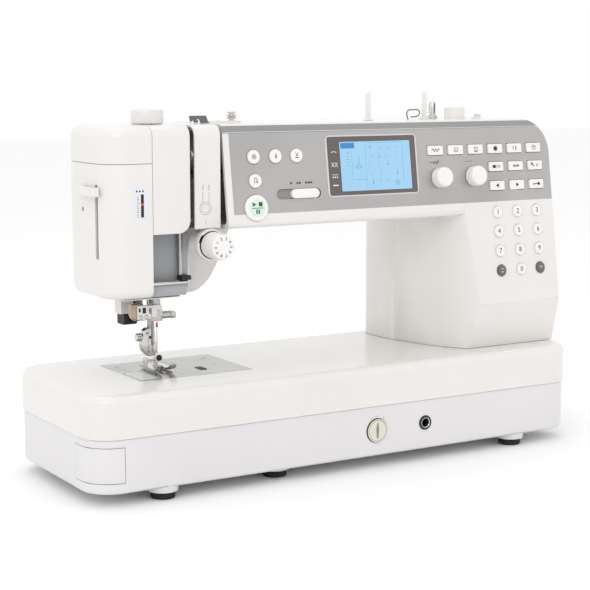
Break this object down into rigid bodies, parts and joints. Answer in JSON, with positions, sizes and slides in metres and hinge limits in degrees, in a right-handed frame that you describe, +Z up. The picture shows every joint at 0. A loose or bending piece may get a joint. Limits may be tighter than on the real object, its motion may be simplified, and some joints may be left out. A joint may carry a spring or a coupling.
{
  "type": "sewing machine",
  "caption": "Computerised flat-bed household sewing machine: low rounded base, column, long arm with a sloped key panel and display, needle head at the left, hand wheel at the right.",
  "frame": {"origin": "on the table, under the middle of the machine's outline, hand wheel included", "axes": "+Z up, +X towards the hand wheel, -Y towards the person sewing"},
  "size_m": [0.47, 0.16, 0.306],
  "materials": {
    "white_shell": "glossy moulded",
    "lower_white": "satin moulded",
    "steel": "ground",
    "chrome": "polished plate",
    "rubber": "matt",
    "clear": "clear moulded",
    "dark_plastic": "fine texture",
    "cream": "satin",
    "silver": "metallic satin",
    "dark_window": "tinted gloss",
    "key_white": "satin",
    "cast": "painted casting"
  },
  "bodies": {
    "machine": {"rubber_feet": "rubber", "base_lower_cover": "lower_white", "bed_upper_cover": "white_shell", "needle_plate": "steel", "bobbin_case": "dark_plastic", "knee_lift_socket": "dark_plastic", "power_inlet": "dark_plastic", "housing_front": "white_shell", "housing_rear": "white_shell", "top_cover": "white_shell", "control_panel": "silver", "lcd_window": "dark_window", "number_keypad": "key_white", "head_cap": "white_shell", "take_up_cover": "white_shell", "tension_cover": "white_shell", "head_frame": "cast", "spool_pin_left": "key_white", "spool_pin_right": "key_white", "thread_guide": "chrome"},
    "door": {"corner_door": "lower_white"},
    "hook_lid": {"hook_cover": "clear"},
    "feed": {"feed_dog": "steel"},
    "drive": {"handwheel": "white_shell", "main_shaft": "steel"},
    "hook": {"rotary_hook": "dark_plastic"},
    "bobbin_spool": {"bobbin": "clear"},
    "balance": {"balance_dial": "cream"},
    "switch": {"power_switch": "dark_plastic"},
    "start_stop": {"start_stop_key": "key_white"},
    "function_1": {"function_key_1": "key_white"},
    "function_2": {"function_key_2": "key_white"},
    "function_3": {"function_key_3": "key_white"},
    "function_4": {"function_key_4": "key_white"},
    "stitch_1": {"stitch_key_1": "key_white"},
    "stitch_2": {"stitch_key_2": "key_white"},
    "stitch_3": {"stitch_key_3": "key_white"},
    "stitch_4": {"stitch_key_4": "key_white"},
    "stitch_5": {"stitch_key_5": "key_white"},
    "stitch_6": {"stitch_key_6": "key_white"},
    "stitch_7": {"stitch_key_7": "key_white"},
    "stitch_8": {"stitch_key_8": "key_white"},
    "stitch_9": {"stitch_key_9": "key_white"},
    "stitch_10": {"stitch_key_10": "key_white"},
    "stitch_11": {"stitch_key_11": "key_white"},
    "stitch_12": {"stitch_key_12": "key_white"},
    "speed": {"speed_slider": "key_white"},
    "width": {"width_knob": "key_white"},
    "length": {"length_knob": "key_white"},
    "face": {"face_cover": "white_shell"},
    "threader": {"threader_lever": "white_shell"},
    "needle_rod": {"needle_bar": "steel", "needle": "chrome"},
    "presser_rod": {"presser_bar": "steel"},
    "foot": {"presser_foot": "chrome"},
    "lifter": {"lifter_lever": "dark_plastic"},
    "take_up": {"take_up_lever": "chrome"},
    "tension": {"tension_dial": "key_white"},
    "pressure": {"pressure_dial": "key_white"},
    "winder": {"winder_spindle": "chrome"}
  },
  "joints": [
    {"name": "door_turn", "type": "hinge", "parent": "machine", "child": "door", "pos_m": [-0.2079, -0.0788, 0.032], "axis": [0, 0, 1], "range_deg": [0, 115]},
    {"name": "hook_lid_slide", "type": "slide", "parent": "machine", "child": "hook_lid", "axis": [0, 0, 1], "range_m": [0, 0.012]},
    {"name": "feed_slide", "type": "slide", "parent": "machine", "child": "feed", "axis": [0, 1, 0], "range_m": [-0.0025, 0.0025]},
    {"name": "drive_turn", "type": "hinge", "parent": "machine", "child": "drive", "pos_m": [-0.003, 0.006, 0.243], "axis": [1, 0, 0], "continuous": true},
    {"name": "hook_turn", "type": "hinge", "parent": "machine", "child": "hook", "pos_m": [-0.1575, -0.019, 0.06], "axis": [0, 0, 1], "continuous": true},
    {"name": "bobbin_spool_turn", "type": "hinge", "parent": "machine", "child": "bobbin_spool", "pos_m": [-0.1575, -0.019, 0.064], "axis": [0, 0, 1], "continuous": true},
    {"name": "balance_turn", "type": "hinge", "parent": "machine", "child": "balance", "pos_m": [0.0182, -0.0798, 0.0315], "axis": [0, -1, 0], "range_deg": [-60, 60]},
    {"name": "switch_turn", "type": "hinge", "parent": "machine", "child": "switch", "pos_m": [0.2261, -0.004, 0.031], "axis": [0, 1, 0], "range_deg": [0, 16]},
    {"name": "start_stop_slide", "type": "slide", "parent": "machine", "child": "start_stop", "axis": [0, 0.9897, -0.1435], "range_m": [0, 0.0015], "stiffness_N_per_m": 400, "springref_m": -0.0006},
    {"name": "function_1_slide", "type": "slide", "parent": "machine", "child": "function_1", "axis": [0, 0.9897, -0.1435], "range_m": [0, 0.001], "stiffness_N_per_m": 400, "springref_m": -0.0006},
    {"name": "function_2_slide", "type": "slide", "parent": "machine", "child": "function_2", "axis": [0, 0.9897, -0.1435], "range_m": [0, 0.001], "stiffness_N_per_m": 400, "springref_m": -0.0006},
    {"name": "function_3_slide", "type": "slide", "parent": "machine", "child": "function_3", "axis": [0, 0.9897, -0.1435], "range_m": [0, 0.001], "stiffness_N_per_m": 400, "springref_m": -0.0006},
    {"name": "function_4_slide", "type": "slide", "parent": "machine", "child": "function_4", "axis": [0, 0.9897, -0.1435], "range_m": [0, 0.001], "stiffness_N_per_m": 400, "springref_m": -0.0006},
    {"name": "stitch_1_slide", "type": "slide", "parent": "machine", "child": "stitch_1", "axis": [0, 0.9897, -0.1435], "range_m": [0, 0.001], "stiffness_N_per_m": 400, "springref_m": -0.0006},
    {"name": "stitch_2_slide", "type": "slide", "parent": "machine", "child": "stitch_2", "axis": [0, 0.9897, -0.1435], "range_m": [0, 0.001], "stiffness_N_per_m": 400, "springref_m": -0.0006},
    {"name": "stitch_3_slide", "type": "slide", "parent": "machine", "child": "stitch_3", "axis": [0, 0.9897, -0.1435], "range_m": [0, 0.001], "stiffness_N_per_m": 400, "springref_m": -0.0006},
    {"name": "stitch_4_slide", "type": "slide", "parent": "machine", "child": "stitch_4", "axis": [0, 0.9897, -0.1435], "range_m": [0, 0.001], "stiffness_N_per_m": 400, "springref_m": -0.0006},
    {"name": "stitch_5_slide", "type": "slide", "parent": "machine", "child": "stitch_5", "axis": [0, 0.9897, -0.1435], "range_m": [0, 0.001], "stiffness_N_per_m": 400, "springref_m": -0.0006},
    {"name": "stitch_6_slide", "type": "slide", "parent": "machine", "child": "stitch_6", "axis": [0, 0.9897, -0.1435], "range_m": [0, 0.001], "stiffness_N_per_m": 400, "springref_m": -0.0006},
    {"name": "stitch_7_slide", "type": "slide", "parent": "machine", "child": "stitch_7", "axis": [0, 0.9897, -0.1435], "range_m": [0, 0.001], "stiffness_N_per_m": 400, "springref_m": -0.0006},
    {"name": "stitch_8_slide", "type": "slide", "parent": "machine", "child": "stitch_8", "axis": [0, 0.9897, -0.1435], "range_m": [0, 0.001], "stiffness_N_per_m": 400, "springref_m": -0.0006},
    {"name": "stitch_9_slide", "type": "slide", "parent": "machine", "child": "stitch_9", "axis": [0, 0.9897, -0.1435], "range_m": [0, 0.001], "stiffness_N_per_m": 400, "springref_m": -0.0006},
    {"name": "stitch_10_slide", "type": "slide", "parent": "machine", "child": "stitch_10", "axis": [0, 0.9897, -0.1435], "range_m": [0, 0.001], "stiffness_N_per_m": 400, "springref_m": -0.0006},
    {"name": "stitch_11_slide", "type": "slide", "parent": "machine", "child": "stitch_11", "axis": [0, 0.9897, -0.1435], "range_m": [0, 0.001], "stiffness_N_per_m": 400, "springref_m": -0.0006},
    {"name": "stitch_12_slide", "type": "slide", "parent": "machine", "child": "stitch_12", "axis": [0, 0.9897, -0.1435], "range_m": [0, 0.001], "stiffness_N_per_m": 400, "springref_m": -0.0006},
    {"name": "speed_slide", "type": "slide", "parent": "machine", "child": "speed", "axis": [1, 0, 0], "range_m": [-0.013, 0.0012]},
    {"name": "width_turn", "type": "hinge", "parent": "machine", "child": "width", "pos_m": [0.1024, -0.04508, 0.2338], "axis": [0, -0.9897, 0.1435], "continuous": true},
    {"name": "length_turn", "type": "hinge", "parent": "machine", "child": "length", "pos_m": [0.1386, -0.04508, 0.2338], "axis": [0, -0.9897, 0.1435], "continuous": true},
    {"name": "face_turn", "type": "hinge", "parent": "machine", "child": "face", "pos_m": [-0.16515, 0.046, 0.2], "axis": [0, 0, -1], "range_deg": [0, 100]},
    {"name": "threader_slide", "type": "slide", "parent": "face", "child": "threader", "axis": [0, 0, -1], "range_m": [0, 0.045]},
    {"name": "needle_rod_slide", "type": "slide", "parent": "machine", "child": "needle_rod", "axis": [0, 0, -1], "range_m": [-0.004, 0.026]},
    {"name": "presser_rod_slide", "type": "slide", "parent": "machine", "child": "presser_rod", "axis": [0, 0, 1], "range_m": [0, 0.006]},
    {"name": "foot_turn", "type": "hinge", "parent": "presser_rod", "child": "foot", "pos_m": [-0.1436, 0.0085, 0.0919], "axis": [1, 0, 0], "range_deg": [-2, 2]},
    {"name": "lifter_turn", "type": "hinge", "parent": "machine", "child": "lifter", "pos_m": [-0.153, 0.02, 0.14], "axis": [1, 0, 0], "range_deg": [0, 45]},
    {"name": "take_up_turn", "type": "hinge", "parent": "machine", "child": "take_up", "pos_m": [-0.131, -0.006, 0.228], "axis": [1, 0, 0], "range_deg": [-8, 35]},
    {"name": "tension_turn", "type": "hinge", "parent": "machine", "child": "tension", "pos_m": [-0.116, -0.065, 0.189], "axis": [0, -1, 0], "range_deg": [-150, 150]},
    {"name": "pressure_turn", "type": "hinge", "parent": "machine", "child": "pressure", "pos_m": [-0.1485, 0, 0.282], "axis": [0, 0, 1], "range_deg": [-120, 120]},
    {"name": "winder_turn", "type": "hinge", "parent": "machine", "child": "winder", "pos_m": [0.134, 0.009, 0.282], "axis": [0, 0, 1], "continuous": true}
  ],
  "couplings": [
    {"joint": "hook_turn", "follows": "drive_turn", "ratio": 2},
    {"joint": "lifter_turn", "follows": "presser_rod_slide", "rad_per_m": 130.9}
  ]
}
